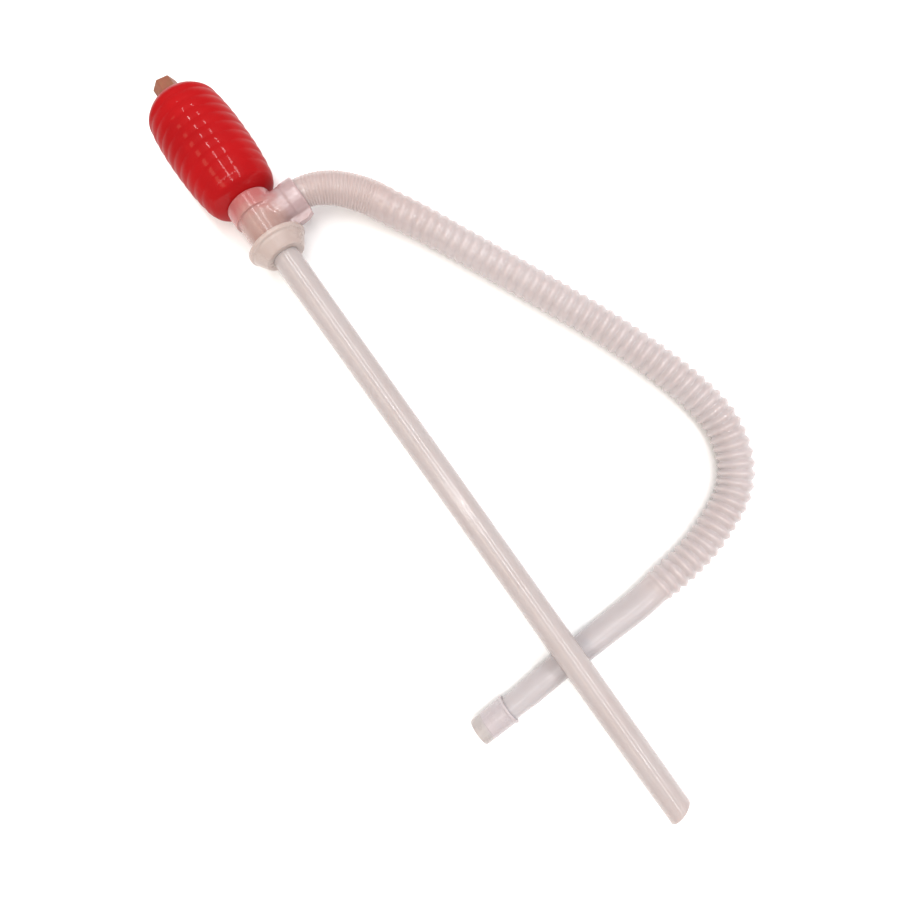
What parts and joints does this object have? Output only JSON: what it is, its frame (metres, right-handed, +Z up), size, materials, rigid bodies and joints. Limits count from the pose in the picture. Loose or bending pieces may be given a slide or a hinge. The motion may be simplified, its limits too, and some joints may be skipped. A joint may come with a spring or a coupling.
{
  "type": "hand siphon pump",
  "caption": "Hand siphon with a ribbed squeeze bulb, tee-shaped valve body with vent cap, straight suction tube and corrugated discharge hose.",
  "frame": {"origin": "middle of the footprint of the pump without its hose, on the ground plane it lies on", "axes": "+X along the pump from the squeeze bulb to the tip of the suction tube, +Y towards the side port, +Z up"},
  "size_m": [0.5066, 0.2316, 0.047],
  "materials": {
    "bulb_red": "soft vinyl, satin, moulded ribs",
    "vent_tan": "moulded tan plastic, satin",
    "seal_rubber": "matt black rubber",
    "body_natural": "natural translucent polyethylene, waxy",
    "valve_white": "moulded natural polypropylene",
    "disc_rubber": "soft red-brown rubber",
    "tube_clear": "natural translucent tube, satin gloss",
    "hose_clear": "natural translucent blow-moulded hose",
    "cuff_clear": "natural translucent sleeve"
  },
  "bodies": {
    "pump": {"squeeze_bulb": "bulb_red", "valve_body": "body_natural", "inlet_seat": "valve_white", "inlet_cage": "valve_white", "outlet_seat": "valve_white", "outlet_cage": "valve_white", "tube_collar": "body_natural", "tube_seal": "seal_rubber", "suction_tube": "tube_clear", "discharge_hose": "hose_clear", "hose_cuff": "cuff_clear"},
    "bulb_end": {"vent_seat": "vent_tan"},
    "vent_seal": {"vent_washer": "seal_rubber"},
    "cap": {"vent_cap": "vent_tan"},
    "inlet_valve": {"inlet_disc": "disc_rubber"},
    "outlet_valve": {"outlet_disc": "disc_rubber"}
  },
  "joints": [
    {"name": "bulb_squeeze", "type": "slide", "parent": "pump", "child": "bulb_end", "axis": [1, 0, 0], "range_m": [0, 0.02], "stiffness_N_per_m": 400, "deforming": ["squeeze_bulb"]},
    {"name": "vent_lift", "type": "slide", "parent": "bulb_end", "child": "vent_seal", "axis": [-1, 0, 0], "range_m": [0, 0.002]},
    {"name": "vent_turn", "type": "hinge", "parent": "vent_seal", "child": "cap", "pos_m": [-0.249, -0.002, 0.0235], "axis": [-1, 0, 0], "range_deg": [0, 360]},
    {"name": "inlet_lift", "type": "slide", "parent": "pump", "child": "inlet_valve", "axis": [-1, 0, 0], "range_m": [0, 0.0025]},
    {"name": "outlet_lift", "type": "slide", "parent": "pump", "child": "outlet_valve", "axis": [0, 1, 0], "range_m": [0, 0.0025]}
  ],
  "couplings": [
    {"joint": "vent_turn", "follows": "vent_lift", "rad_per_m": 3141.6}
  ]
}
